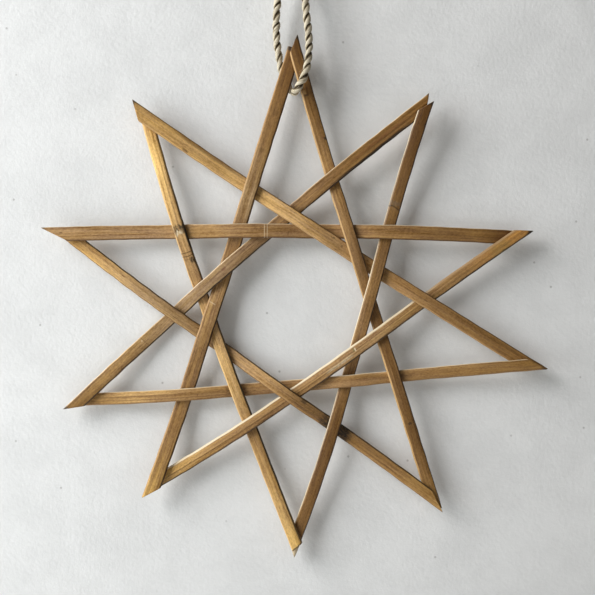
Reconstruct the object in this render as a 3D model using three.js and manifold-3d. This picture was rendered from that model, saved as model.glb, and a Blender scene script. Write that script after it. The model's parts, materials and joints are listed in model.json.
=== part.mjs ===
// A ten-pointed star ornament of flat bamboo strips that are woven over and under each other and
// joined at their tips, with the loop of twisted cord that it hangs on.
// Millimetres, +Z up. The front faces -Y. The origin is the place in the loop, just below its
// knot, where a nail takes it.
import * as THREE from 'three';
import { mergeVertices } from 'three/addons/utils/BufferGeometryUtils.js';
import loadSolids from 'manifold-3d';

// The star
const starReach = 245; // from the centre to the tips of the regular star
const tipStep = 4; // a strip runs from its tip to the fourth one on
const stripThickness = 3.6; // at the front edge of its side
const crownHeight = 0.5; // how much higher the middle of its front stands
const edgeDrop = 1.1; // how deep the pared front edges go
const weaveGap = 0.35; // between two strips that cross

// The cord
const cordDiameter = 7.3;
const cordSides = 10;
const cordSteps = 44;
const touchGap = 0.3; // between the cord's ends and its knot
const knotWidth = 24;
const knotHeight = 23;
const knotDepth = 19;
const knotRim = 1; // from the cord's two strands to the edge of the knot's flat underside
const knotFullness = 0.12; // how far its sides stand out of a plain ellipse, towards a cylinder
const knotRings = 9;
const knotSides = 18;
const tailLength = 17; // how far the cord's two ends stand out of the knot
const tailSpread = 5.5; // how far each end leans outwards
const tailSteps = 5;

// How finely a strip is divided, and how its weave settles
const stationCount = 49;
const contactSpacing = 3;
const settlingRounds = 4000;
const flattening = 0.002; // the share of its depth that a strip loses in each round
const closingRounds = 300;

// The tips, clockwise from the top: how far each lies outside the regular star's, and how many
// degrees it is turned to the left of its regular place. The star is made by hand.
const tips = [
  { out: 5, turn: 0 },
  { out: -15.5, turn: 1.3 },
  { out: -9.5, turn: -2.4 },
  { out: 5.5, turn: 2.1 },
  { out: 2.5, turn: -1.6 },
  { out: 3.5, turn: 0 },
  { out: -5.5, turn: -1.4 },
  { out: 2, turn: 7.5 },
  { out: 7.5, turn: 2.8 },
  { out: 0.5, turn: 3.7 },
];

// The strips, each from its own tip, where it lies on top, to the fourth tip on, where it lies
// underneath. The pairs are for its start and its end: its width, how far its middle runs inside
// the line between the two tips, how short of the tip it stops (less than 0 where it sticks out)
// and the angle of its end cut. bow is how far it bends outwards at one and at two thirds of its
// length. edges is how wide its pared edges are, on the outer and on the inner side.
const strips = [
  { width: [11.8, 11.5], inset: [4.9, 5.3], bow: [-2.2, -1.3], short: [0, 2.4], cut: [38, 41],
    edges: [1.1, 1.5], colour: 0x8c643c },
  { width: [12, 11.8], inset: [5.1, 7.4], bow: [1, 5], short: [2.2, -1.1], cut: [43, 39],
    edges: [1.1, 1.5], colour: 0x785530 },
  { width: [11.5, 12.5], inset: [5.8, 7], bow: [3, 6.3], short: [0, 1.9], cut: [37, 39],
    edges: [1.1, 2.6], colour: 0xaa824b },
  { width: [11.3, 11.9], inset: [5.6, 8.2], bow: [1.8, 3.8], short: [1.7, 4.7], cut: [32, 43],
    edges: [1.2, 1.2], colour: 0xa58250 },
  { width: [11.5, 12], inset: [5, 11.4], bow: [1.1, 3.5], short: [0, 8], cut: [28, 38],
    edges: [1.2, 1.3], colour: 0xbe965a },
  { width: [11.7, 11.7], inset: [5.1, 8.7], bow: [6.1, 7.3], short: [7.5, 4.7], cut: [68, 40],
    edges: [1.1, 1.7], colour: 0xd8b06a },
  { width: [13.9, 13.5], inset: [5.8, 2.1], bow: [-2.1, -1.4], short: [0, 11.8], cut: [44, 90],
    edges: [1.2, 1.4], colour: 0x9b784b },
  { width: [12.2, 13.4], inset: [6.6, -0.8], bow: [5.8, 6], short: [0, -1.1], cut: [34, 42],
    edges: [1.2, 1.3], colour: 0x967346 },
  { width: [13.6, 13.5], inset: [6.4, 7], bow: [4.5, 5.1], short: [0, 1.2], cut: [28, 38],
    edges: [1.2, 1.3], colour: 0xb08c5f },
  { width: [13.8, 12.9], inset: [6.6, 6.2], bow: [-3.4, -3], short: [0, -0.4], cut: [40, 37],
    edges: [1.2, 1.3], colour: 0xbe965f },
];

// How the strips lie on each other, by how many tips apart they start: 1, 2 and 4 tips on, the
// later strip is the upper one, and 3 tips on it is the lower one. One crossing is woven wrong.
const laterIsUpper = { 1: true, 2: true, 3: false, 4: true };
const wovenWrong = { lower: 3, upper: 2 };

// The route of the cord, seen from the top tip: from the knot down on the left, behind the strip
// that lies underneath at that tip, forward through the gap below it, and up in front of the
// other strip.
const cordRoute = [
  [-8.4, 0, 68],
  [-8.4, 0, 64],
  [-9.7, 0.4, 58],
  [-12.8, 1, 50.5],
  [-15.9, 1.8, 42],
  [-17.8, 2.6, 31],
  [-19.1, 3.8, 16],
  [-19, 5.4, 1],
  [-17.6, 7.7, -13],
  [-15.6, 9.5, -24.5],
  [-13.2, 10.5, -35.5],
  [-9.5, 11, -44],
  [-5.2, 9.4, -50.6],
  [-2.3, 5.1, -53.2],
  [-1.3, 0, -53.4],
  [0.1, -4.4, -52.6],
  [2.7, -8.1, -49.5],
  [6.4, -10.1, -43.5],
  [9.3, -10.2, -35],
  [11.2, -9.3, -24],
  [12.1, -7.8, -13],
  [11.3, -5.8, 2],
  [9.9, -4, 17],
  [8.6, -2.6, 31],
  [6.9, -1.7, 42],
  [3.8, -1, 50.5],
  [0.7, -0.4, 58],
  [-0.6, 0, 64],
  [-0.6, 0, 68],
];
const hangingPlace = [-4.5, 0, 59]; // just below the knot, between the two strands

// A tip's place in the plane of the star, across and up
function tipPlace(number) {
  const { out, turn } = tips[number % tips.length];
  const angle = THREE.MathUtils.degToRad(90 - (360 / tips.length) * number + turn);
  return new THREE.Vector2(Math.cos(angle), Math.sin(angle)).multiplyScalar(starReach + out);
}

// A strip with its place in the plane of the star. Its depths, forward from that plane, come later.
function placedStrip(strip, number) {
  const start = tipPlace(number);
  const end = tipPlace(number + tipStep);
  const length = start.distanceTo(end);
  const along = end.clone().sub(start).divideScalar(length);
  const inward = new THREE.Vector2(along.y, -along.x);
  return { ...strip, number, start, length, along, inward, depths: new Array(stationCount).fill(0) };
}

const mix = THREE.MathUtils.lerp;

function widthAt(strip, distance) {
  return mix(strip.width[0], strip.width[1], distance / strip.length);
}

// How far inside the line between its tips the strip's middle runs: a cubic through its two
// insets and its two bows
function insideAt(strip, distance) {
  const share = distance / strip.length;
  const bend = strip.bow[0] * (share - 2 / 3) - strip.bow[1] * (share - 1 / 3);
  const bendScale = 27 / 2; // makes each bow full at its own place
  return mix(strip.inset[0], strip.inset[1], share) - bendScale * share * (share - 1) * bend;
}

// A point of the strip from its distance along it and its distance outwards from its middle
function pointOn(strip, distance, outwards) {
  const inside = insideAt(strip, distance) - outwards;
  return strip.start
    .clone()
    .addScaledVector(strip.along, distance)
    .addScaledVector(strip.inward, inside);
}

function seenFrom(strip, point) {
  const offset = point.clone().sub(strip.start);
  const distance = offset.dot(strip.along);
  return { distance, outwards: insideAt(strip, distance) - offset.dot(strip.inward) };
}

// Where the strip's two end cuts are, side going from -1 at its inner edge to 1 at its outer edge
function cutLength(strip, end, side) {
  const angle = THREE.MathUtils.degToRad(strip.cut[end]);
  return strip.short[end] + ((1 - side) * strip.width[end]) / 2 / Math.tan(angle);
}

function startOf(strip, side) {
  return cutLength(strip, 0, side);
}

function endOf(strip, side) {
  return strip.length - cutLength(strip, 1, side);
}

function isOn(strip, { distance, outwards }) {
  const side = outwards / (widthAt(strip, distance) / 2);
  if (Math.abs(side) > 1) {
    return false;
  }
  return distance >= startOf(strip, side) && distance <= endOf(strip, side);
}

// The strip's depth at a distance along it, smooth between the stations
function depthAt(strip, distance) {
  const last = stationCount - 1;
  const place = (distance / strip.length) * last;
  const index = THREE.MathUtils.clamp(Math.floor(place), 0, last - 1);
  const share = place - index;
  const [from, to] = [strip.depths[index], strip.depths[index + 1]];
  if (share < 0 || share > 1) {
    return mix(from, to, share);
  }
  const before = index > 0 ? strip.depths[index - 1] : 2 * from - to;
  const after = index < last - 1 ? strip.depths[index + 2] : 2 * to - from;
  const slopes = [(to - before) / 2, (after - from) / 2];
  const back = 1 - share;
  const line = from * back + to * share;
  const curve = (slopes[0] - (to - from)) * back - (slopes[1] - (to - from)) * share;
  return line + share * back * curve;
}

// The upper and the lower one of two strips, or nothing where they don't meet
function layersOf(first, second) {
  let apart = second.number - first.number;
  let [earlier, later] = [first, second];
  if (apart > strips.length / 2) {
    apart = strips.length - apart;
    [earlier, later] = [second, first];
  }
  if (!(apart in laterIsUpper)) {
    return null;
  }
  const isWrong = earlier.number === wovenWrong.upper && later.number === wovenWrong.lower;
  const laterOnTop = laterIsUpper[apart] && !isWrong;
  const joined = apart === tipStep;
  return { upper: laterOnTop ? later : earlier, lower: laterOnTop ? earlier : later, joined };
}

// The places where the back of the upper strip lies over the front of the lower one
function contactsOf({ upper, lower, joined }) {
  const found = [];
  for (let distance = 0; distance <= upper.length; distance += contactSpacing) {
    for (const side of [-1, -0.5, 0, 0.5, 1]) {
      const outwards = (side * widthAt(upper, distance)) / 2;
      const below = seenFrom(lower, pointOn(upper, distance, outwards));
      if (isOn(upper, { distance, outwards }) && isOn(lower, below)) {
        found.push({ upper, lower, joined: false, above: distance, below: below.distance });
      }
    }
  }
  if (joined) {
    found[Math.floor(found.length / 2)].joined = true;
  }
  return found;
}

function push(strip, distance, amount) {
  const last = stationCount - 1;
  const place = (distance / strip.length) * last;
  const index = THREE.MathUtils.clamp(Math.floor(place), 0, last - 1);
  const share = THREE.MathUtils.clamp(place - index, 0, 1);
  const weight = (1 - share) ** 2 + share ** 2;
  strip.depths[index] += (amount * (1 - share)) / weight;
  strip.depths[index + 1] += (amount * share) / weight;
}

// Moves two strips apart where they come too near each other, and holds them together at a tip
function keepLayers({ upper, lower, joined, above, below }) {
  const layerRise = stripThickness + crownHeight + weaveGap;
  const lack = layerRise - (depthAt(upper, above) - depthAt(lower, below));
  if (joined || lack > 0) {
    push(upper, above, lack / 2);
    push(lower, below, -lack / 2);
  }
}

// Straightens a strip a little, as its own stiffness does, and brings it nearer the star's plane
function straighten({ depths }) {
  const last = stationCount - 1;
  depths[0] = 2 * depths[1] - depths[2];
  depths[1] = (2 * depths[0] + 4 * depths[2] - depths[3]) / 5;
  for (let i = 2; i <= last - 2; i += 1) {
    const near = depths[i - 1] + depths[i + 1];
    const far = depths[i - 2] + depths[i + 2];
    depths[i] = (4 * near - far) / 6;
  }
  depths[last - 1] = (2 * depths[last] + 4 * depths[last - 2] - depths[last - 3]) / 5;
  depths[last] = 2 * depths[last - 1] - depths[last - 2];
  depths.forEach((depth, i) => {
    depths[i] = depth * (1 - flattening);
  });
}

// Bends the strips over and under each other, as springy strips settle when they are woven, and
// leaves the top tip's joint in the plane of the star
function weave(placed) {
  const contacts = [];
  for (const first of placed) {
    for (const second of placed.slice(first.number + 1)) {
      const layers = layersOf(first, second);
      if (layers) {
        contacts.push(...contactsOf(layers));
      }
    }
  }
  for (let round = 0; round < settlingRounds; round += 1) {
    placed.forEach(straighten);
    contacts.forEach(keepLayers);
  }
  for (let round = 0; round < closingRounds; round += 1) {
    contacts.forEach(keepLayers);
  }
  const under = placed[placed.length - tipStep];
  const middle = (depthAt(placed[0], 0) + depthAt(under, under.length)) / 2;
  for (const strip of placed) {
    strip.depths = strip.depths.map((depth) => depth - middle);
  }
}

// The strip's section: flat at the back, crowned at the front, with pared front edges
function stripSection({ width, edges }) {
  const half = width[0] / 2;
  const back = -stripThickness / 2;
  const front = stripThickness / 2;
  const [outer, inner] = edges;
  return new THREE.Shape([
    new THREE.Vector2(-half, back),
    new THREE.Vector2(half, back),
    new THREE.Vector2(half, front - edgeDrop),
    new THREE.Vector2(half - outer, front),
    new THREE.Vector2(0, front + crownHeight),
    new THREE.Vector2(-half + inner, front),
    new THREE.Vector2(-half, front - edgeDrop),
  ]);
}

function stripMesh(strip) {
  const geometry = new THREE.ExtrudeGeometry(stripSection(strip), {
    depth: 1,
    steps: stationCount - 1,
    bevelEnabled: false,
  });
  const corners = geometry.attributes.position;
  for (let i = 0; i < corners.count; i += 1) {
    const side = corners.getX(i) / (strip.width[0] / 2);
    const distance = mix(startOf(strip, side), endOf(strip, side), corners.getZ(i));
    const point = pointOn(strip, distance, (side * widthAt(strip, distance)) / 2);
    const forward = depthAt(strip, distance) + corners.getY(i);
    corners.setXYZ(i, point.x, -forward, point.y);
  }
  const material = new THREE.MeshStandardMaterial({ color: strip.colour, roughness: 0.6, metalness: 0 });
  const mesh = new THREE.Mesh(geometry, material);
  mesh.name = `bamboo_strip_${String(strip.number + 1).padStart(2, '0')}`;
  return mesh;
}

function cordMaterial() {
  return new THREE.MeshStandardMaterial({ color: 0xb4a07a, roughness: 0.9, metalness: 0 });
}

function cordSection() {
  const points = [];
  for (let i = 0; i < cordSides; i += 1) {
    const angle = (2 * Math.PI * i) / cordSides;
    points.push(new THREE.Vector2(Math.cos(angle), Math.sin(angle)).multiplyScalar(cordDiameter / 2));
  }
  return new THREE.Shape(points);
}

function cordTube(points, steps) {
  const extrudePath = new THREE.CatmullRomCurve3(points, false, 'centripetal');
  return new THREE.ExtrudeGeometry(cordSection(), { steps, extrudePath, bevelEnabled: false });
}

function cordMesh(route) {
  const mesh = new THREE.Mesh(cordTube(route, cordSteps), cordMaterial());
  mesh.name = 'hanging_cord';
  return mesh;
}

const solids = await loadSolids();
solids.setup();

function solidFrom(geometry) {
  geometry.deleteAttribute('normal');
  geometry.deleteAttribute('uv');
  const merged = mergeVertices(geometry);
  return new solids.Manifold(
    new solids.Mesh({
      numProp: 3,
      vertProperties: merged.attributes.position.array,
      triVerts: new Uint32Array(merged.index.array),
    }),
  );
}

function geometryFrom(solid) {
  const { vertProperties, triVerts } = solid.getMesh();
  const geometry = new THREE.BufferGeometry();
  geometry.setAttribute('position', new THREE.BufferAttribute(vertProperties, 3));
  geometry.setIndex(new THREE.BufferAttribute(triVerts, 1));
  return geometry;
}

// The overhand knot that closes the loop: a rounded lump, flat where the two strands go in, with
// both ends of the cord standing out of its top
function knotMesh(route) {
  const [first, last] = [route[0], route[route.length - 1]];
  const strandsApart = first.distanceTo(last);
  const base = first.clone().add(last).divideScalar(2);
  base.z += touchGap;
  const half = knotWidth / 2;
  const flat = (strandsApart + cordDiameter) / 2 + knotRim;
  const profile = [new THREE.Vector2(0, 0), new THREE.Vector2(flat, 0)];
  for (let i = 1; i <= knotRings; i += 1) {
    const angle = -Math.PI / 2 + (Math.PI * i) / knotRings;
    const radius = mix(half * Math.cos(angle), half, knotFullness);
    profile.push(new THREE.Vector2(radius, (knotHeight * (1 + Math.sin(angle))) / 2));
  }
  profile.push(new THREE.Vector2(0, knotHeight));
  const lump = new THREE.LatheGeometry(profile, knotSides);
  lump.rotateX(Math.PI / 2);
  lump.scale(1, knotDepth / knotWidth, 1);
  lump.translate(base.x, base.y, base.z);
  let solid = solidFrom(lump);
  for (const side of [-1, 1]) {
    const offsets = [
      [strandsApart / 2, knotHeight - cordDiameter],
      [strandsApart / 2 + tailSpread / 4, knotHeight + tailLength / 2],
      [strandsApart / 2 + tailSpread, knotHeight + tailLength],
    ];
    const tail = offsets.map(([out, up]) => base.clone().add(new THREE.Vector3(side * out, 0, up)));
    solid = solid.add(solidFrom(cordTube(tail, tailSteps)));
  }
  const mesh = new THREE.Mesh(geometryFrom(solid), cordMaterial());
  mesh.name = 'cord_knot';
  return mesh;
}

const placed = strips.map(placedStrip);
weave(placed);
const topTip = tipPlace(0);

const cord = new THREE.Group();
const route = cordRoute.map((point) => new THREE.Vector3(...point));
cord.add(cordMesh(route), knotMesh(route));
cord.position.set(topTip.x, 0, topTip.y);

const star = new THREE.Group();
star.add(...placed.map(stripMesh), cord);
star.position.copy(cord.position).add(new THREE.Vector3(...hangingPlace)).negate();

const ornament = new THREE.Group();
ornament.add(star);
export default ornament;
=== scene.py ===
# A ten-pointed star ornament of woven bamboo strips, on a loop of twisted cord.
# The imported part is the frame; its strips, cord and knot are dressed here. Lengths are in metres.
import json
import math
import random

import bmesh
import bpy
import numpy as np
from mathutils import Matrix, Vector

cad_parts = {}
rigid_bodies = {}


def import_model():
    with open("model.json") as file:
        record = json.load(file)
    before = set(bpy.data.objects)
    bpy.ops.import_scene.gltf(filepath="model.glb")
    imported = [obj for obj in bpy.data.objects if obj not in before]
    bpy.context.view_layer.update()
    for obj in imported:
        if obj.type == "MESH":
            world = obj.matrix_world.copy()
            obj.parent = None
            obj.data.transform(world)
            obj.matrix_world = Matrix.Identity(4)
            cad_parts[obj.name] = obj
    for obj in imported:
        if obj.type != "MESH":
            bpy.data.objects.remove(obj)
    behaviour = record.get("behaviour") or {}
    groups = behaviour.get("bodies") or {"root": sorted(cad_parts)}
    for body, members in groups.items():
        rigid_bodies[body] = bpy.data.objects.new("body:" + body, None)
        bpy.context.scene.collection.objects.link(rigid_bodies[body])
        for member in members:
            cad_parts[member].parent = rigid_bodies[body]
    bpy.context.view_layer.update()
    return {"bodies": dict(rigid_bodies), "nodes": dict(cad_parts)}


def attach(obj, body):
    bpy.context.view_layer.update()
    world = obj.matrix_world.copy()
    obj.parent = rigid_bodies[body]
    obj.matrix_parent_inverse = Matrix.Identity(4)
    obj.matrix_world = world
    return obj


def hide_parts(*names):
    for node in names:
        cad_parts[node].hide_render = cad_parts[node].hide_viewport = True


for leftOver in list(bpy.data.objects):
    bpy.data.objects.remove(leftOver)

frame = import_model()
millimetre = 0.001


# Small helpers

def newPiece(name, mesh, material):
    piece = bpy.data.objects.new(name, mesh)
    bpy.context.scene.collection.objects.link(piece)
    mesh.materials.append(material)
    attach(piece, bodyName)
    return piece


def finishMesh(bm, name):
    bmesh.ops.recalc_face_normals(bm, faces=bm.faces)
    for face in bm.faces:
        face.smooth = True
    mesh = bpy.data.meshes.new(name)
    bm.to_mesh(mesh)
    bm.free()
    return mesh


def putAttribute(mesh, name, vectors):
    layer = mesh.attributes.new(name, "FLOAT_VECTOR", "POINT")
    layer.data.foreach_set("vector", np.asarray(vectors, np.float32).ravel())


def pointsOf(mesh):
    flat = np.empty(len(mesh.vertices) * 3)
    mesh.vertices.foreach_get("co", flat)
    return flat.reshape(-1, 3)


def hump(values, middle, width):
    return np.exp(-(((values - middle) / width) ** 2))


bodyName = next(iter(frame["bodies"]))


# Camera, as the photograph was taken: straight at the star, which nearly fills the picture

photoView = {
    "middle": (0.0056, -0.3091),  # what lies in the middle of the picture, right of and above the nail
    "width": 0.5673,              # what the picture takes in at the star
    "distance": 0.95,
    "sensor": 36,
}

cameraData = bpy.data.cameras.new("camera")
cameraData.sensor_width = photoView["sensor"]
cameraData.lens = photoView["sensor"] * photoView["distance"] / photoView["width"]
camera = bpy.data.objects.new("camera", cameraData)
bpy.context.scene.collection.objects.link(camera)
camera.location = (photoView["middle"][0], -photoView["distance"], photoView["middle"][1])
camera.rotation_euler = (math.pi / 2, 0, 0)
bpy.context.scene.camera = camera


# Material building

class Graph:
    # A material's nodes, added by name, with inputs that are either values or other nodes' outputs
    def __init__(self, name):
        self.material = bpy.data.materials.new(name)
        self.material.use_nodes = True
        self.tree = self.material.node_tree
        self.shader = self.tree.nodes["Principled BSDF"]

    def fill(self, node, inputs):
        for key, value in inputs.items():
            socket = node.inputs[key]
            if isinstance(value, bpy.types.NodeSocket):
                self.tree.links.new(value, socket)
            else:
                socket.default_value = value

    def add(self, kind, inputs=None, **settings):
        node = self.tree.nodes.new("ShaderNode" + kind)
        for key, value in settings.items():
            setattr(node, key, value)
        self.fill(node, inputs or {})
        return node

    def math(self, operation, first, second=0.0, third=0.0):
        inputs = {0: first, 1: second, 2: third}
        return self.add("Math", inputs, operation=operation).outputs[0]

    def times(self, first, second):
        return self.math("MULTIPLY", first, second)

    def plus(self, first, second):
        return self.math("ADD", first, second)

    def step(self, value, low, high, fromValue=0.0, toValue=1.0):
        inputs = {"Value": value, "From Min": low, "From Max": high, "To Min": fromValue, "To Max": toValue}
        return self.add("MapRange", inputs, interpolation_type="SMOOTHSTEP").outputs["Result"]

    def stretched(self, vector, scale, place=(0, 0, 0)):
        return self.add("Mapping", {"Vector": vector, "Scale": scale, "Location": place}).outputs[0]

    def noise(self, vector, scale=1.0, detail=2.0, roughness=0.5):
        inputs = {"Vector": vector, "Scale": scale, "Detail": detail, "Roughness": roughness}
        return self.add("TexNoise", inputs).outputs["Fac"]

    def mix(self, factor, first, second, kind="MIX"):
        node = self.add("Mix", data_type="RGBA", blend_type=kind)
        self.fill(node, {0: factor, 6: first, 7: second})
        return node.outputs[2]

    def ramp(self, value, stops):
        node = self.add("ValToRGB", {0: value})
        points = node.color_ramp.elements
        while len(points) < len(stops):
            points.new(1.0)
        for point, (place, colour) in zip(points, stops):
            point.position = place
            point.color = (*colour, 1)
        return node.outputs["Color"]

    def attribute(self, name):
        return self.add("Attribute", attribute_name=name).outputs["Vector"]

    def split(self, vector):
        return self.add("SeparateXYZ", {0: vector}).outputs


# The cord: two fat, loosely twisted plies of plant fibre

cordSize = {
    "diameter": 0.0073,
    "pitch": 0.0198,       # of one full turn of the two plies
    "plyAcross": 0.00225,  # half the size of a ply, out from the cord's middle
    "plyAround": 0.0027,   # and along the cord's round
    "plyOut": 0.00155,     # from the cord's middle to a ply's middle
    "strands": 4,          # that show in each ply's surface
    "strandDepth": 0.15,
    "strandPitch": 0.0185,  # they turn against the plies
    "ringStep": 0.0007,
    "plySides": 24,
}

# from the knot down the left side, behind the star's top tip, through the gap and up in front
cordRoute = [
    (-0.0039, 0, 0.009), (-0.0039, 0, 0.005), (-0.0052, 0.0004, -0.001), (-0.0083, 0.001, -0.0085),
    (-0.0114, 0.0018, -0.017), (-0.0133, 0.0026, -0.028), (-0.0146, 0.0038, -0.043),
    (-0.0145, 0.0054, -0.058), (-0.0131, 0.0077, -0.072), (-0.0111, 0.0095, -0.0835),
    (-0.0087, 0.0105, -0.0945), (-0.005, 0.011, -0.103), (-0.0007, 0.0094, -0.1096),
    (0.0022, 0.0051, -0.1122), (0.0032, 0, -0.1124), (0.0046, -0.0044, -0.1116),
    (0.0072, -0.0081, -0.1085), (0.0109, -0.0101, -0.1025), (0.0138, -0.0102, -0.094),
    (0.0157, -0.0093, -0.083), (0.0166, -0.0078, -0.072), (0.0158, -0.0058, -0.057),
    (0.0144, -0.004, -0.042), (0.0131, -0.0026, -0.028), (0.0114, -0.0017, -0.017),
    (0.0083, -0.001, -0.0085), (0.0052, -0.0004, -0.001), (0.0039, 0, 0.005), (0.0039, 0, 0.009),
]


def smoothLine(route, step):
    # A smooth curve through the points, sampled evenly
    points = np.array(route, float)
    padded = np.vstack([2 * points[0] - points[1], points, 2 * points[-1] - points[-2]])
    fine = []
    for before, start, end, after in zip(padded, padded[1:], padded[2:], padded[3:]):
        for share in np.linspace(0, 1, 40, endpoint=False):
            slopes = (end - before) / 2, (after - start) / 2
            fine.append((2 * share ** 3 - 3 * share ** 2 + 1) * start
                        + (share ** 3 - 2 * share ** 2 + share) * slopes[0]
                        + (3 * share ** 2 - 2 * share ** 3) * end
                        + (share ** 3 - share ** 2) * slopes[1])
    fine = np.array([*fine, points[-1]])
    run = np.concatenate([[0], np.cumsum(np.linalg.norm(np.diff(fine, axis=0), axis=1))])
    places = np.linspace(0, run[-1], max(2, round(run[-1] / step)) + 1)
    return places, np.column_stack([np.interp(places, run, fine[:, i]) for i in range(3)])


def crossWays(line):
    # Two ways across the line at each of its points, carried along it without twist
    ways = np.gradient(line, axis=0)
    ways /= np.linalg.norm(ways, axis=1)[:, None]
    first = np.cross(ways[0], (0.0, 1.0, 0.0))
    across = []
    for way in ways:
        first = first - way * (first @ way)
        first = first / np.linalg.norm(first)
        across.append(first)
    across = np.array(across)
    return across, np.cross(ways, across)


def sweep(bm, rings, facts, ringFacts):
    # A closed tube through rings of points, each ring pushed on from the last one. The facts of
    # each point are kept under its vertex
    sides = len(rings[0])
    ring = bmesh.ops.create_circle(bm, segments=sides, radius=millimetre)["verts"]
    made = [ring]
    bmesh.ops.contextual_create(bm, geom=ring)
    edges = [bm.edges.get((ring[i], ring[i - 1])) for i in range(sides)]
    for _ in rings[1:]:
        pushed = bmesh.ops.extrude_edge_only(bm, edges=edges)["geom"]
        fresh = {item for item in pushed if isinstance(item, bmesh.types.BMVert)}
        ring = [next(e.other_vert(v) for e in v.link_edges if e.other_vert(v) in fresh) for v in ring]
        edges = [bm.edges.get((ring[i], ring[i - 1])) for i in range(sides)]
        made.append(ring)
    bmesh.ops.contextual_create(bm, geom=ring)
    for points, vertices, factsHere in zip(rings, made, ringFacts):
        for point, vertex, fact in zip(points, vertices, factsHere):
            vertex.co = point
            facts[vertex] = fact


def finishCord(bm, name, facts):
    ordered = [facts[vertex] for vertex in bm.verts]
    mesh = finishMesh(bm, name)
    putAttribute(mesh, "ply", ordered)
    return mesh


def plyRings(places, line, plyNumber, seed, size=1.0):
    # One ply's rings, with its place along the cord, around the ply and out of the cord's middle
    chance = random.Random(seed)
    waves = [(chance.uniform(60, 400), chance.uniform(0, 6.3), chance.uniform(0.4, 1)) for _ in range(6)]
    across, other = crossWays(line)
    rings, facts = [], []
    for place, middle, first, second in zip(places, line, across, other):
        thick = 1 + 0.05 * sum(part * math.sin(rate * place + phase) for rate, phase, part in waves)
        turn = 2 * math.pi * place / cordSize["pitch"] + math.pi * plyNumber
        turn += 0.22 * math.sin(waves[0][0] * place + waves[0][1])
        out = math.cos(turn) * first + math.sin(turn) * second
        around = -math.sin(turn) * first + math.cos(turn) * second
        centre = middle + out * cordSize["plyOut"] * size
        ring, fact = [], []
        for i in range(cordSize["plySides"]):
            angle = 2 * math.pi * i / cordSize["plySides"]
            strandTurn = angle - 2 * math.pi * place / cordSize["strandPitch"]
            ridge = abs(math.sin(cordSize["strands"] * strandTurn / 2)) ** 0.7
            swell = size * thick * (1 - cordSize["strandDepth"] * (1 - ridge))
            outwards = cordSize["plyAcross"] * swell * math.cos(angle)
            sideways = cordSize["plyAround"] * swell * math.sin(angle)
            ring.append(centre + out * outwards + around * sideways)
            fact.append((place, strandTurn, outwards + cordSize["plyOut"] * size))
        rings.append(ring)
        facts.append(fact)
    return rings, facts


def laidCord(name, routes, size=1.0):
    # A mesh of both plies along each route
    bm = bmesh.new()
    facts = {}
    for number, (places, line) in enumerate(routes):
        for ply in range(2):
            rings, ringFacts = plyRings(places, line, ply, 10 * number + ply, size)
            sweep(bm, rings, facts, ringFacts)
    return finishCord(bm, name, facts)


def cordMaterial():
    graph = Graph("cord fibre")
    ply = graph.attribute("ply")
    parts = graph.split(ply)
    fibres = graph.noise(graph.stretched(ply, (150, 6, 900)), detail=4, roughness=0.65)
    blotches = graph.noise(graph.stretched(ply, (75, 0.25, 120)), detail=2)
    # Dark in the grooves near the cord's middle and pale on the plies' crests: painted shade in the grooves, mixed
    # with the fibres' own blotches and streaks
    grooveShadeAndFibreTone = graph.step(parts[2], 0.0002, 0.0026)
    grooveShadeAndFibreTone = graph.plus(grooveShadeAndFibreTone, graph.times(graph.plus(blotches, -0.5), 1.5))
    grooveShadeAndFibreTone = graph.plus(grooveShadeAndFibreTone, graph.times(graph.plus(fibres, -0.5), 1.3))
    tone = graph.ramp(grooveShadeAndFibreTone, [
        (0.0, (0.05, 0.035, 0.019)), (0.35, (0.17, 0.128, 0.073)), (0.7, (0.35, 0.285, 0.185)),
        (1.0, (0.6, 0.53, 0.4)),
    ])
    bump = graph.add("Bump", {"Strength": 0.7, "Distance": 0.0004, "Height": fibres})
    graph.fill(graph.shader, {"Base Color": tone, "Roughness": 0.88, "Specular IOR Level": 0.2,
                              "Normal": bump.outputs[0]})
    return graph.material


fibreMaterial = cordMaterial()
cordPlaces, cordLine = smoothLine(cordRoute, cordSize["ringStep"])
cordPiece = newPiece("twisted_cord", laidCord("twisted_cord", [(cordPlaces, cordLine)]), fibreMaterial)
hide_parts("hanging_cord")
print("cord laid, length", round(cordPlaces[-1], 4))


# The knot just above the picture: both strands wound round together, with their two frayed ends

knotSize = {
    "start": 0.0093,      # the height of its underside
    "windRadius": (0.0078, 0.0058),
    "windTurns": 1.35,
    "windRise": 0.0098,
    "strandGap": 0.0066,
    "tailOut": 0.0085,
    "tailTop": 0.046,
}


def knotRoute(side):
    # One strand's way: in from below, round the knot, in again at the top and out as a loose end
    base = knotSize["start"]
    wide, deep = knotSize["windRadius"]
    lower = base + 0.0055 + (knotSize["strandGap"] if side > 0 else 0)
    route = [(side * 0.0039, 0, base - 0.0003), (side * 0.0036, 0, base + 0.0015)]
    count = 15
    for i in range(count):
        share = i / (count - 1)
        turn = math.pi / 2 * (1 if side < 0 else 1.15) + 2 * math.pi * knotSize["windTurns"] * share
        reach = min(1, 0.35 + 2.4 * share, 0.4 + 2.4 * (1 - share))
        route.append((wide * reach * math.cos(turn), deep * reach * math.sin(turn),
                      lower + knotSize["windRise"] * (share - 0.15)))
    top = knotSize["tailTop"] - (0.003 if side > 0 else 0)
    route.append((side * 0.0035, 0, 0.0305))
    route.append((side * 0.0055, 0.0008 * side, 0.037))
    route.append((side * knotSize["tailOut"], 0.001 * side, top))
    return route


knotLines = [smoothLine(knotRoute(side), cordSize["ringStep"]) for side in (-1, 1)]
knotPiece = newPiece("knot_and_ends", laidCord("knot_and_ends", knotLines, 0.97), fibreMaterial)
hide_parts("cord_knot")
print("knot wound")


# Stray fibres that stand off the cord, and the brushes of fibre at its two cut ends

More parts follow.
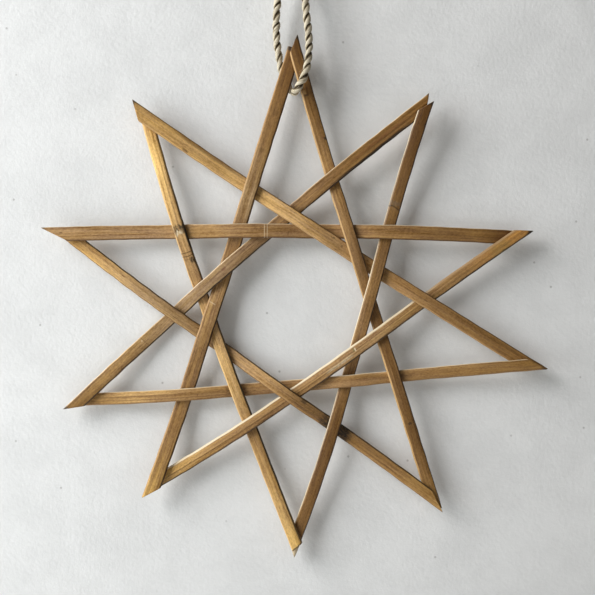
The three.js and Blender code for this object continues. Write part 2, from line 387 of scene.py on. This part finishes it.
fibreSize = {
    "count": 150,
    "long": (0.002, 0.006),
    "thick": 0.00013,
    "startOut": 0.0026,    # they come out of the cord this far from its middle
    "brushCount": 34,      # at each cut end
    "brushLong": (0.003, 0.0075),
    "brushThick": 0.0003,
    "brushWidth": 0.0024,
    "steps": 4,
    "sides": 4,
}


def unit(vector):
    return vector / np.linalg.norm(vector)


def addFibre(bm, facts, start, way, bend, length, thick):
    # A tapered fibre that sets out one way and bends another
    side = unit(np.cross(way, bend))
    up = np.cross(side, way)
    rings, ringFacts = [], []
    for i in range(fibreSize["steps"] + 1):
        share = i / fibreSize["steps"]
        middle = start + length * (share * way + 0.5 * share ** 2 * bend)
        turns = [2 * math.pi * k / fibreSize["sides"] for k in range(fibreSize["sides"])]
        radius = thick * (1 - 0.7 * share)
        rings.append([middle + radius * (math.cos(turn) * side + math.sin(turn) * up) for turn in turns])
        ringFacts.append([(start[2], start[0] * 900, 0.0024)] * len(turns))
    sweep(bm, rings, facts, ringFacts)


def chanceWay(chance):
    return unit(np.array([chance.gauss(0, 1) for _ in range(3)]))


def strayFibres():
    chance = random.Random(7)
    bm = bmesh.new()
    facts = {}
    across, other = crossWays(cordLine)
    for _ in range(fibreSize["count"]):
        index = chance.randrange(1, len(cordLine) - 1)
        turn = chance.uniform(0, 2 * math.pi)
        out = math.cos(turn) * across[index] + math.sin(turn) * other[index]
        along = unit(cordLine[index + 1] - cordLine[index - 1]) * chance.choice((-1, 1))
        start = cordLine[index] + out * fibreSize["startOut"]
        way = unit(along + chance.uniform(0.35, 1.1) * out + 0.3 * chanceWay(chance))
        bend = 0.7 * chanceWay(chance)
        addFibre(bm, facts, start, way, bend, chance.uniform(*fibreSize["long"]), fibreSize["thick"])
    for _, line in knotLines:
        way = unit(line[-1] - line[-6])
        for _ in range(fibreSize["brushCount"]):
            aside = chanceWay(chance)
            aside = aside - way * (aside @ way)
            start = line[-1] - 0.0012 * way + chance.uniform(0, fibreSize["brushWidth"]) * aside
            lean = unit(way + chance.uniform(0, 0.45) * aside)
            length = chance.uniform(*fibreSize["brushLong"])
            addFibre(bm, facts, start, lean, 0.5 * chanceWay(chance), length, fibreSize["brushThick"])
    return finishCord(bm, "stray_fibres", facts)


strayPiece = newPiece("stray_fibres", strayFibres(), fibreMaterial)
print("stray fibres added")


# The bamboo strips, from the one that starts at the top tip, clockwise. The tones run from the
# strip's own tip to its other end, as shares of its length, and edges are the tones of its pared
# outer and inner edge: partly the pared and burnt wood, partly painted light, mostly a pale painted
# highlight on the edge that faces the light and a dark painted shade on the edge turned from it.
# Marks are in millimetres: how far along the strip (from its other end where less than 0) and
# outwards from its middle they lie, half their length and width, how much they slant or bend back
# from their middle, how ragged and how broken up by fibres they are, and how far they stand out.

# soot, char, burnt, cream and bone also serve as the edges' painted shade and painted highlight
tones = {
    "walnut": (0.098, 0.042, 0.0105),
    "umber": (0.12, 0.055, 0.015),
    "coffee": (0.15, 0.073, 0.021),
    "brown": (0.18, 0.09, 0.027),
    "toffee": (0.24, 0.128, 0.043),
    "tan": (0.3, 0.165, 0.06),
    "fawn": (0.33, 0.205, 0.095),
    "amber": (0.33, 0.162, 0.051),
    "blush": (0.365, 0.213, 0.1),
    "honey": (0.38, 0.22, 0.085),
    "straw": (0.47, 0.28, 0.105),
    "wheat": (0.54, 0.33, 0.125),
    "pale": (0.62, 0.39, 0.155),
    "cream": (0.85, 0.72, 0.5),
    "bone": (0.8, 0.66, 0.44),
    "rust": (0.2, 0.07, 0.03),
    "moss": (0.2, 0.16, 0.05),
    "ash": (0.13, 0.115, 0.09),
    "burnt": (0.05, 0.028, 0.012),
    "char": (0.035, 0.023, 0.014),
    "soot": (0.022, 0.016, 0.011),
}

tipMark = {"at": 0, "long": 5.5, "ragged": 2.5, "tone": "soot", "strength": 0.9}

strips = [
    {"tones": [(0, "umber"), (0.16, "brown"), (0.27, "tan"), (0.4, "toffee"), (0.62, "brown"), (0.78, "brown"),
               (0.86, "coffee"), (0.92, "toffee"), (0.97, "honey"), (1, "tan")],
     "edges": ("burnt", "straw"),
     "marks": [
         tipMark,
         {"at": 54.5, "across": -2.4, "long": 2.2, "wide": 1.7, "tone": "straw", "strength": 0.6, "rise": 0.7},
         {"at": 57.8, "across": -1.4, "long": 1, "wide": 1.9, "tone": "burnt", "strength": 0.7},
         {"at": 101.8, "across": 4.6, "long": 1.6, "wide": 1.5, "tone": "soot", "strength": 0.8},
         {"at": 100.6, "across": 2.3, "long": 1.2, "wide": 1.3, "tone": "rust", "strength": 0.5},
         {"at": 386.6, "long": 0.6, "tone": "toffee", "strength": 0.4, "rise": 0.2},
         {"at": 385.6, "across": 0.6, "long": 1.4, "wide": 2, "ragged": 1, "tone": "burnt", "strength": 0.75},
     ]},
    {"tones": [(0, "walnut"), (0.12, "umber"), (0.4, "toffee"), (0.6, "toffee"), (0.74, "coffee"), (0.86, "brown"),
               (0.975, "toffee"),
               (0.986, "straw"), (1, "pale")],
     "edges": ("char", "bone"),
     "marks": [
         tipMark,
         {"at": -3, "long": 9, "ragged": 2, "tone": "cream", "strength": 0.75},
         {"at": 103, "long": 2.4, "ragged": 3, "tone": "ash", "strength": 0.4, "broken": 0.4},
         {"at": 105.6, "long": 0.9, "bend": 0.3, "apex": -2.4, "tone": "burnt", "strength": 0.7, "rise": 0.3},
         {"at": 108, "long": 0.9, "bend": 0.3, "apex": -2.4, "tone": "toffee", "strength": 0.6},
     ]},
    {"tones": [(0, "amber"), (0.08, "amber"), (0.18, "toffee"), (0.38, "honey"), (0.6, "tan"), (0.78, "tan"), (0.88, "straw"),
               (1, "pale")],
     "edges": ("soot", "cream"),
     "marks": [
         tipMark,
         {"at": 36, "long": 11, "ragged": 8, "tone": "moss", "strength": 0.4, "broken": 0.5},
         {"at": 330, "across": 1.2, "long": 130, "wide": 0.6, "ragged": 40, "tone": "umber", "strength": 0.75,
          "broken": 0.5},
         {"at": 200, "across": -1, "long": 90, "wide": 0.5, "ragged": 30, "tone": "umber", "strength": 0.65,
          "broken": 0.5},
         {"at": 50, "across": -5.8, "long": 85, "wide": 2.3, "ragged": 10, "tone": "tan", "strength": 0.9},
         {"at": 225, "across": 1.2, "long": 16, "wide": 1.6, "ragged": 9, "tone": "cream", "strength": 0.5,
          "broken": 0.7},
         {"at": 205, "across": -1.5, "long": 0.8, "wide": 2, "slant": 0.1, "tone": "cream", "strength": 0.6,
          "rise": 0.25},
         {"at": 206.6, "across": -2, "long": 1, "wide": 2.2, "slant": 0.1, "tone": "moss", "strength": 0.6},
     ]},
    {"tones": [(0, "toffee"), (0.3, "tan"), (0.6, "tan"), (0.76, "honey"), (0.86, "straw"), (1, "tan")],
     "edges": ("tan", "bone"),
     "marks": [
         tipMark,
         {"at": 400, "across": -0.6, "long": 95, "wide": 1, "ragged": 30, "tone": "brown", "strength": 0.6,
          "broken": 0.4},
         {"at": 330, "across": 2.6, "long": 110, "wide": 0.6, "ragged": 30, "tone": "brown", "strength": 0.45,
          "broken": 0.4},
         {"at": 302, "across": -1, "long": 6.5, "wide": 6, "ragged": 6, "tone": "burnt", "strength": 0.75,
          "broken": 0.8},
     ]},
    {"tones": [(0, "honey"), (0.14, "toffee"), (0.38, "toffee"), (0.46, "honey"), (0.75, "fawn"), (0.88, "straw"),
               (1, "tan")],
     "edges": ("toffee", "burnt"),
     "marks": [
         {"at": 128, "long": 15, "ragged": 9, "tone": "burnt", "strength": 0.75, "broken": 0.35},
         {"at": 126, "long": 14, "ragged": 5, "tone": "soot", "strength": 0.85, "broken": 0.7},
         {"at": 141, "long": 6, "ragged": 6, "tone": "soot", "strength": 0.85, "broken": 0.7},
         {"at": 169, "across": -3.4, "long": 3.4, "wide": 1.8, "ragged": 2, "tone": "burnt", "strength": 0.7},
     ]},
    {"tones": [(0, "pale"), (0.16, "honey"), (0.26, "tan"), (0.36, "straw"), (0.45, "wheat"), (0.66, "honey"),
               (0.76, "straw"), (0.86, "pale"), (1, "straw")],
     "edges": ("pale", "char"),
     "marks": [
         {"at": 325, "long": 5.5, "ragged": 6, "tone": "burnt", "strength": 0.8, "broken": 0.8, "rise": -0.2},
         {"at": 322, "across": 1, "long": 2.2, "wide": 3.5, "ragged": 5, "tone": "cream", "strength": 0.8,
          "broken": 0.8},
         {"at": 327, "across": -3, "long": 2.2, "wide": 2.4, "ragged": 4, "tone": "soot", "strength": 0.7},
         # a dark line along the inner edge, on its shaded side: painted shade
         {"at": 315, "across": -5, "long": 11, "wide": 1.3, "ragged": 2, "tone": "soot", "strength": 0.9},
         {"at": 301.5, "long": 0.6, "bend": 0.12, "tone": "umber", "strength": 0.8, "rise": 0.25},
         {"at": 298, "long": 0.6, "bend": 0.16, "tone": "umber", "strength": 0.8, "rise": 0.2},
         {"at": 295, "long": 0.5, "bend": 0.2, "tone": "toffee", "strength": 0.6},
         {"at": 295, "across": -2.8, "long": 3, "wide": 2.4, "slant": 0.5, "ragged": 3, "tone": "burnt",
          "strength": 0.9, "broken": 0.5},
         {"at": 3, "long": 1, "slant": -0.39, "ragged": 1, "tone": "soot", "strength": 0.85, "broken": 0.3},
     ]},
    {"tones": [(0, "straw"), (0.15, "tan"), (0.32, "toffee"), (0.45, "honey"), (0.56, "toffee"), (0.67, "fawn"),
               (0.8, "toffee"), (0.9, "brown"), (1, "umber")],
     "edges": ("honey", "burnt"),
     "marks": [
         {"at": -1, "long": 3.5, "ragged": 1, "tone": "soot", "strength": 0.85},
         {"at": 0, "long": 1.6, "ragged": 0.6, "tone": "ash", "strength": 0.8},
         {"at": 195.6, "across": 2, "long": 0.6, "wide": 3.5, "slant": 0.22, "tone": "cream", "strength": 0.35,
          "rise": 0.2},
         {"at": -103, "across": 1, "long": 2.2, "wide": 2.6, "ragged": 2, "tone": "coffee", "strength": 0.6},
         {"at": -65, "across": -1, "long": 3, "wide": 3, "ragged": 2, "tone": "coffee", "strength": 0.5},
     ]},
    {"tones": [(0, "brown"), (0.14, "honey"), (0.26, "fawn"), (0.4, "fawn"), (0.66, "toffee"), (0.86, "brown"),
               (1, "brown")],
     "edges": ("bone", "char"),
     "marks": [
         tipMark,
         {"at": -1, "long": 3, "ragged": 1, "tone": "soot", "strength": 0.8},
         {"at": 98.9, "across": 2.5, "long": 0.8, "wide": 0.8, "tone": "cream", "strength": 0.45},
         {"at": 100.6, "long": 0.6, "slant": -0.15, "tone": "umber", "strength": 0.35, "rise": 0.2},
         {"at": 203.7, "across": 0.8, "long": 2.6, "wide": 1.5, "ragged": 1, "tone": "rust", "strength": 0.5},
         # a dark line along the inner edge, on its shaded side: painted shade
         {"at": 385, "across": -5, "long": 48, "wide": 1.3, "ragged": 8, "tone": "soot", "strength": 0.8},
         {"at": 390, "across": 1, "long": 40, "wide": 1.6, "ragged": 30, "tone": "rust", "strength": 0.35,
          "broken": 0.7},
     ]},
    {"tones": [(0, "blush"), (0.22, "blush"), (0.3, "honey"), (0.4, "tan"), (0.56, "tan"), (0.88, "toffee"), (0.95, "walnut"),
               (1, "walnut")],
     "edges": ("bone", "umber"),
     "marks": [
         tipMark,
         {"at": 20, "across": 1.5, "long": 1.6, "wide": 0.9, "tone": "umber", "strength": 0.7},
         {"at": 213.4, "long": 0.5, "tone": "cream", "strength": 0.4, "rise": 0.2},
         {"at": 216, "long": 0.5, "tone": "cream", "strength": 0.35},
         {"at": 236.6, "across": -1.8, "long": 0.8, "wide": 2, "slant": 0.3, "tone": "umber", "strength": 0.6},
     ]},
    {"tones": [(0, "honey"), (0.1, "straw"), (0.34, "straw"), (0.66, "tan"), (0.86, "toffee"), (1, "brown")],
     "edges": ("umber", "honey"),
     "marks": [
         tipMark,
         {"at": 92, "across": 4.6, "long": 44, "wide": 2, "ragged": 12, "tone": "brown", "strength": 0.7,
          "broken": 0.3},
         {"at": 69, "across": -4.6, "long": 3.4, "wide": 1.4, "ragged": 2, "tone": "umber", "strength": 0.7},
         {"at": 233.6, "across": 3.9, "long": 1.2, "wide": 0.7, "tone": "burnt", "strength": 0.7},
         {"at": 244.2, "across": 1.6, "long": 1, "wide": 0.7, "tone": "burnt", "strength": 0.7},
     ]},
]

stripShape = {
    "sharpTurn": 0.25,    # two faces that meet at more than this many radians make an edge
    "crease": 0.9,
    "levels": 3,
    "endTurn": 0.3,       # a face that looks along the strip by more than this is an end
    "endStretch": 0.02,   # the slanted end cuts lie within this of the strip's ends
    "crownWidth": 0.0008,
    "paredFrom": 0.00065,  # the pared edges start this far behind the crown
    # the dark edge tones, painted shade, reach further onto the front than the pale painted highlights
    "edgeFrom": {"soot": 0.0004, "char": 0.00062, "cream": 0.0009, "bone": 0.0011},
    "edgeFade": 0.0002,
    "sideFrom": 0.0017,
    "backFrom": 0.0038,
    "wideMark": 9,         # half the width of a mark that goes all the way across, in millimetres
    "leastRise": 0.0012,   # no ridge is narrower than this
    "waver": 0.00012,      # how far the long edges wander
    "ripple": 0.00006,     # how deep the front's fibres lie
}


# The fronts are greyer and lighter in the middle of the star than near its tips
stripTintAlong = [(0, (1.08, 1.05, 0.82)), (0.14, (1.12, 1.11, 1.0)), (0.5, (1.14, 1.15, 1.22)),
             (0.86, (1.15, 1.13, 1.03)), (1, (1.1, 1.04, 0.78))]


def tipWay(number):
    turn = 2 * math.pi * number / len(strips)
    return np.array([math.sin(turn), 0, math.cos(turn)])


def squaredCopy(node):
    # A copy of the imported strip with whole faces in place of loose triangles, and its edges creased
    bm = bmesh.new()
    bm.from_mesh(node.data)
    bmesh.ops.remove_doubles(bm, verts=bm.verts, dist=0.01 * millimetre)
    bmesh.ops.join_triangles(bm, faces=bm.faces, angle_face_threshold=0.1, angle_shape_threshold=3.1)
    creases = bm.edges.layers.float.new("crease_edge")
    for edge in bm.edges:
        if len(edge.link_faces) == 2 and edge.calc_face_angle() > stripShape["sharpTurn"]:
            edge[creases] = stripShape["crease"]
    return finishMesh(bm, node.name)


def stripGuide(number, points):
    # The strip's straight axis, the curve of its middle beside it, and the depth of its crown line
    first = points[np.argmax(points @ tipWay(number))]
    last = points[np.argmax(points @ tipWay(number + 4))]
    axis = (last - first) * (1, 0, 1)
    length = np.linalg.norm(axis)
    axis /= length
    outward = np.array([-axis[2], 0, axis[0]])
    guide = {"first": first, "axis": axis, "outward": outward, "length": length}
    along, side = (points - first) @ axis, (points - first) @ outward
    whole = (along > stripShape["endStretch"]) & (along < length - stripShape["endStretch"])
    guide["bend"] = np.polyfit(along[whole], side[whole], 3)
    across = side - np.polyval(guide["bend"], along)
    crown = np.abs(across) < stripShape["crownWidth"]
    order = np.argsort(along[crown])
    guide["crownAlong"] = along[crown][order]
    guide["crownDepth"] = points[crown][order][:, 1]
    return guide


def stripPlaces(guide, points):
    # Along the strip, outwards from its middle, and behind its crown
    along = (points - guide["first"]) @ guide["axis"]
    across = (points - guide["first"]) @ guide["outward"] - np.polyval(guide["bend"], along)
    behind = points[:, 1] - np.interp(along, guide["crownAlong"], guide["crownDepth"])
    return np.column_stack([along, across, behind])


def subdivided(mesh, name):
    piece = bpy.data.objects.new(name, mesh)
    bpy.context.scene.collection.objects.link(piece)
    modifier = piece.modifiers.new("smooth", "SUBSURF")
    modifier.levels = stripShape["levels"]
    modifier.render_levels = stripShape["levels"]
    fine = bpy.data.meshes.new_from_object(piece.evaluated_get(bpy.context.evaluated_depsgraph_get()))
    bpy.data.objects.remove(piece)
    bpy.data.meshes.remove(mesh)
    fine.name = name
    return fine


def worked(number, strip, places):
    # How far each point moves outwards and backwards: rippled fibres, wavering edges, raised rings
    chance = np.random.default_rng(number)
    along, across, behind = places.T
    front = 1 - np.clip(behind / stripShape["sideFrom"], 0, 1)
    outwards = np.zeros(len(places))
    backwards = np.zeros(len(places))
    for _ in range(5):
        rate, phase, tilt, turn = chance.uniform((30, 0, 900, 0), (330, 6.3, 2600, 6.3))
        outwards += stripShape["waver"] * np.sin(rate * along + phase + 250 * across) / 2
        drift = np.sin(0.12 * rate * along + turn)
        backwards += front * stripShape["ripple"] * np.sin(tilt * across + phase + 1.5 * drift) / 2
    for mark in strip["marks"]:
        rise = mark.get("rise", 0) * millimetre
        middle = mark.get("across", 0) * millimetre
        place = mark["at"] * millimetre + mark.get("slant", 0) * across
        place = place + mark.get("bend", 0) * np.abs(across - mark.get("apex", 0) * millimetre)
        long = max(mark["long"] * millimetre, stripShape["leastRise"])
        wide = mark.get("wide", stripShape["wideMark"]) * millimetre
        backwards -= front * rise * hump(along, place, long) * hump(across, middle, wide)
    return outwards, backwards


def markMask(graph, mark, parts, raggedness, fibres):
    # 1 inside the mark and 0 outside it
    across = graph.plus(parts[1], -mark.get("across", 0) * millimetre)
    along = graph.plus(parts[0], -mark["at"] * millimetre)
    if mark.get("slant"):
        along = graph.plus(along, graph.times(parts[1], -mark["slant"]))
    if mark.get("bend"):
        fromApex = graph.math("ABSOLUTE", graph.plus(parts[1], -mark.get("apex", 0) * millimetre))
        along = graph.plus(along, graph.times(fromApex, -mark["bend"]))
    if mark.get("ragged"):
        along = graph.plus(along, graph.times(raggedness, 2 * mark["ragged"] * millimetre))
    long = mark["long"] * millimetre
    wide = mark.get("wide", stripShape["wideMark"]) * millimetre
    within = graph.step(graph.math("ABSOLUTE", along), 0.5 * long, 1.2 * long, mark["strength"], 0.0)
    within = graph.times(within, graph.step(graph.math("ABSOLUTE", across), 0.5 * wide, 1.2 * wide, 1.0, 0.0))
    if mark.get("broken"):
        within = graph.times(within, graph.step(fibres, 0.4, 0.56, 1 - mark["broken"], 1.0))
    return within


def bambooMaterial(number, strip, length):
    graph = Graph(f"bamboo {number + 1}")
    place = graph.attribute("strip")
    parts = graph.split(place)
    shift = (3.1 * number, 1.7 * number, 0.9 * number)
    across, behind = parts[1], parts[2]
    tone = graph.ramp(graph.math("DIVIDE", parts[0], length),
                      [(share, tones[name]) for share, name in strip["tones"]])
    broad = graph.noise(graph.stretched(place, (7, 420, 260), shift), detail=2)
    fine = graph.noise(graph.stretched(place, (30, 1500, 900), shift), detail=3, roughness=0.65)
    blotch = graph.noise(graph.stretched(place, (45, 120, 90), shift), detail=3)
    speckle = graph.noise(graph.stretched(place, (380, 800, 600), shift), detail=2, roughness=0.7)
    darkLines = graph.noise(graph.stretched(place, (22, 850, 500), shift), detail=2)
    paleLines = graph.noise(graph.stretched(place, (26, 900, 500), shift[::-1]), detail=2)
    flecks = graph.noise(graph.stretched(place, (280, 1150, 800), shift[::-1]), detail=1)
    shade = graph.plus(graph.step(broad, 0.32, 0.68, -0.2, 0.2), graph.step(fine, 0.3, 0.7, -0.15, 0.15))
    shade = graph.plus(shade, graph.step(blotch, 0.3, 0.7, -0.13, 0.13))
    shade = graph.plus(shade, graph.step(speckle, 0.32, 0.68, -0.22, 0.16))
    shade = graph.plus(shade, graph.step(darkLines, 0.62, 0.7, 0.0, -0.36))
    shade = graph.plus(shade, graph.step(paleLines, 0.62, 0.72, 0.0, 0.3))
    shade = graph.plus(shade, graph.step(flecks, 0.68, 0.76, 0.0, -0.5))
    shade = graph.math("MAXIMUM", shade, -0.75)
    warmth = graph.noise(graph.stretched(place, (22, 300, 220), shift[::-1]), detail=2)
    warmth = graph.step(warmth, 0.34, 0.66, -1.0, 1.0)
    shades = []
    for gain, hue in ((0.85, 0.03), (1.0, 0.02), (1.15, -0.08)):
        shades.append(graph.plus(graph.times(shade, gain), graph.plus(graph.times(warmth, hue), 1.0)))
    shadeColour = graph.add("CombineColor", dict(enumerate(shades))).outputs[0]
    tone = graph.mix(1.0, tone, shadeColour, "MULTIPLY")
    tintAlong = graph.ramp(graph.math("DIVIDE", parts[0], length), stripTintAlong)
    tone = graph.mix(1.0, tone, tintAlong, "MULTIPLY")
    raggedness = graph.plus(graph.noise(graph.stretched(place, (60, 900, 600), shift), detail=3), -0.5)
    crossed = graph.noise(graph.stretched(place, (420, 1300, 900), shift), detail=2)
    patchiness = graph.step(broad, 0.3, 0.6, 0.6, 1.0)
    # The pared edges in the strip's two edge tones: partly the wood's own colour, partly painted highlight on the
    # lit side and painted shade on the shaded side
    for name, side in zip(strip["edges"], (1, -1)):
        start = stripShape["edgeFrom"].get(name, stripShape["paredFrom"])
        pared = graph.times(graph.step(behind, start, start + stripShape["edgeFade"]), patchiness)
        edgeToneAndPaintedLight = graph.times(pared, graph.step(graph.times(across, side), 0.0, 0.001))
        tone = graph.mix(graph.times(edgeToneAndPaintedLight, 0.92), tone, (*tones[name], 1))
    for mark in strip["marks"]:
        mask = markMask(graph, mark, parts, raggedness, crossed)
        tone = graph.mix(mask, tone, (*tones[mark["tone"]], 1))
    inside = graph.mix(graph.step(fine, 0.35, 0.65), (*tones["tan"], 1), (*tones["straw"], 1))
    tone = graph.mix(graph.step(behind, stripShape["backFrom"], 1.04 * stripShape["backFrom"]), tone, inside)
    bump = graph.add("Bump", {"Strength": 0.4, "Distance": 0.0003, "Height": fine})
    rough = graph.step(broad, 0.3, 0.7, 0.42, 0.58)
    graph.fill(graph.shader, {"Base Color": tone, "Roughness": rough, "Specular IOR Level": 0.35,
                              "Normal": bump.outputs[0]})
    return graph.material


def endGrainMaterial():
    # The sawn ends, with the dots of the fibre bundles
    graph = Graph("bamboo end")
    place = graph.add("TexCoord").outputs["Object"]
    dots = graph.add("TexVoronoi", {"Vector": place, "Scale": 1500.0}).outputs["Distance"]
    tone = graph.mix(graph.step(dots, 0.2, 0.45), (*tones["wheat"], 1), (*tones["toffee"], 1))
    graph.fill(graph.shader, {"Base Color": tone, "Roughness": 0.75, "Specular IOR Level": 0.25})
    return graph.material


endGrain = endGrainMaterial()

for number, strip in enumerate(strips):
    nodeName = f"bamboo_strip_{number + 1:02d}"
    rough = squaredCopy(frame["nodes"][nodeName])
    guide = stripGuide(number, pointsOf(rough))
    strip["marks"] = [dict(mark, at=mark["at"] % (guide["length"] / millimetre)) for mark in strip["marks"]]
    for face in rough.polygons:
        face.material_index = int(abs(np.dot(face.normal, guide["axis"])) > stripShape["endTurn"])
    fine = subdivided(rough, f"strip_{number + 1:02d}")
    points = pointsOf(fine)
    places = stripPlaces(guide, points)
    outwards, backwards = worked(number, strip, places)
    points += outwards[:, None] * guide["outward"] + backwards[:, None] * (0, 1, 0)
    fine.vertices.foreach_set("co", points.ravel())
    putAttribute(fine, "strip", places)
    material = bambooMaterial(number, strip, guide["length"])
    piece = newPiece(f"dressed_strip_{number + 1:02d}", fine, material)
    fine.materials.append(endGrain)
    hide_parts(nodeName)
print("strips dressed")


# Wall, floor and light. The wall shows from its front alone, so that views from behind see the star

stageSize = {
    "wallDepth": 0.0183,  # behind the nail, which holds the cord a little way off it
    "wallLean": -0.009,  # the star leans towards the wall at its bottom
    "wallTurn": 0.008,    # and at its left
    "wallHalf": 2.2,
    "floorHeight": -1.1,
    "floorHalf": 4.0,
}


def stageMaterial(name, colour, oneSided):
    graph = Graph(name)
    place = graph.add("TexCoord").outputs["Object"]
    rough = graph.noise(place, 260, detail=4, roughness=0.6)
    patchiness = graph.step(graph.noise(place, 16, detail=6, roughness=0.68), 0.36, 0.64)
    tone = graph.mix(patchiness, (*[0.93 * part for part in colour], 1), (*colour, 1))
    pits = graph.add("TexVoronoi", {"Vector": place, "Scale": 12.0})
    pits.voronoi_dimensions = "2D"
    pitted = graph.step(pits.outputs["Distance"], 0.007, 0.018, 0.5, 0.0)
    pitted = graph.times(pitted, graph.step(graph.noise(place, 9), 0.45, 0.55))
    tone = graph.mix(pitted, tone, (0.3, 0.28, 0.26, 1))
    bump = graph.add("Bump", {"Strength": 0.35, "Distance": 0.001, "Height": rough})
    graph.fill(graph.shader, {"Base Color": tone, "Roughness": 0.9, "Specular IOR Level": 0.2,
                              "Normal": bump.outputs[0]})
    if oneSided:
        clear = graph.add("BsdfTransparent").outputs[0]
        back = graph.add("NewGeometry").outputs["Backfacing"]
        mixed = graph.add("MixShader", {0: back, 1: graph.shader.outputs[0], 2: clear})
        graph.tree.links.new(mixed.outputs[0], graph.tree.nodes["Material Output"].inputs["Surface"])
    return graph.material


def stagePlane(name, half, place, turns, material):
    bm = bmesh.new()
    bmesh.ops.create_grid(bm, x_segments=1, y_segments=1, size=half)
    mesh = bpy.data.meshes.new(name)
    bm.to_mesh(mesh)
    bm.free()
    mesh.materials.append(material)
    plane = bpy.data.objects.new(name, mesh)
    plane.rotation_euler = turns
    plane.location = place
    bpy.context.scene.collection.objects.link(plane)


stagePlane("wall", stageSize["wallHalf"], (0, stageSize["wallDepth"], 0),
           (math.pi / 2 + stageSize["wallLean"], 0, stageSize["wallTurn"]),
           stageMaterial("plaster", (0.8, 0.795, 0.785), True))
stagePlane("floor", stageSize["floorHalf"], (0, 0, stageSize["floorHeight"]), (0, 0, 0),
           stageMaterial("pale floor", (0.78, 0.77, 0.75), False))

lamps = {
    "window": {"place": (-2.05, -1.2, 1.15), "size": 1.45, "power": 78, "colour": (0.99, 0.995, 1.0)},
    "side window": {"place": (-1.65, -0.6, -0.3), "size": 1.1, "power": 22, "colour": (0.88, 0.96, 1.0)},
}
starMiddle = Vector((0.0045, 0, -0.309))
for name, lamp in lamps.items():
    data = bpy.data.lights.new(name, "AREA")
    data.size = lamp["size"]
    data.energy = lamp["power"]
    data.color = lamp["colour"]
    light = bpy.data.objects.new(name, data)
    light.location = lamp["place"]
    light.rotation_euler = (starMiddle - light.location).to_track_quat("-Z", "Y").to_euler()
    bpy.context.scene.collection.objects.link(light)

world = bpy.data.worlds.new("room")
world.use_nodes = True
world.node_tree.nodes["Background"].inputs["Color"].default_value = (1.0, 0.92, 0.8, 1)
world.node_tree.nodes["Background"].inputs["Strength"].default_value = 0.08
bpy.context.scene.world = world
bpy.context.scene.view_settings.view_transform = "Standard"
print("stage lit")
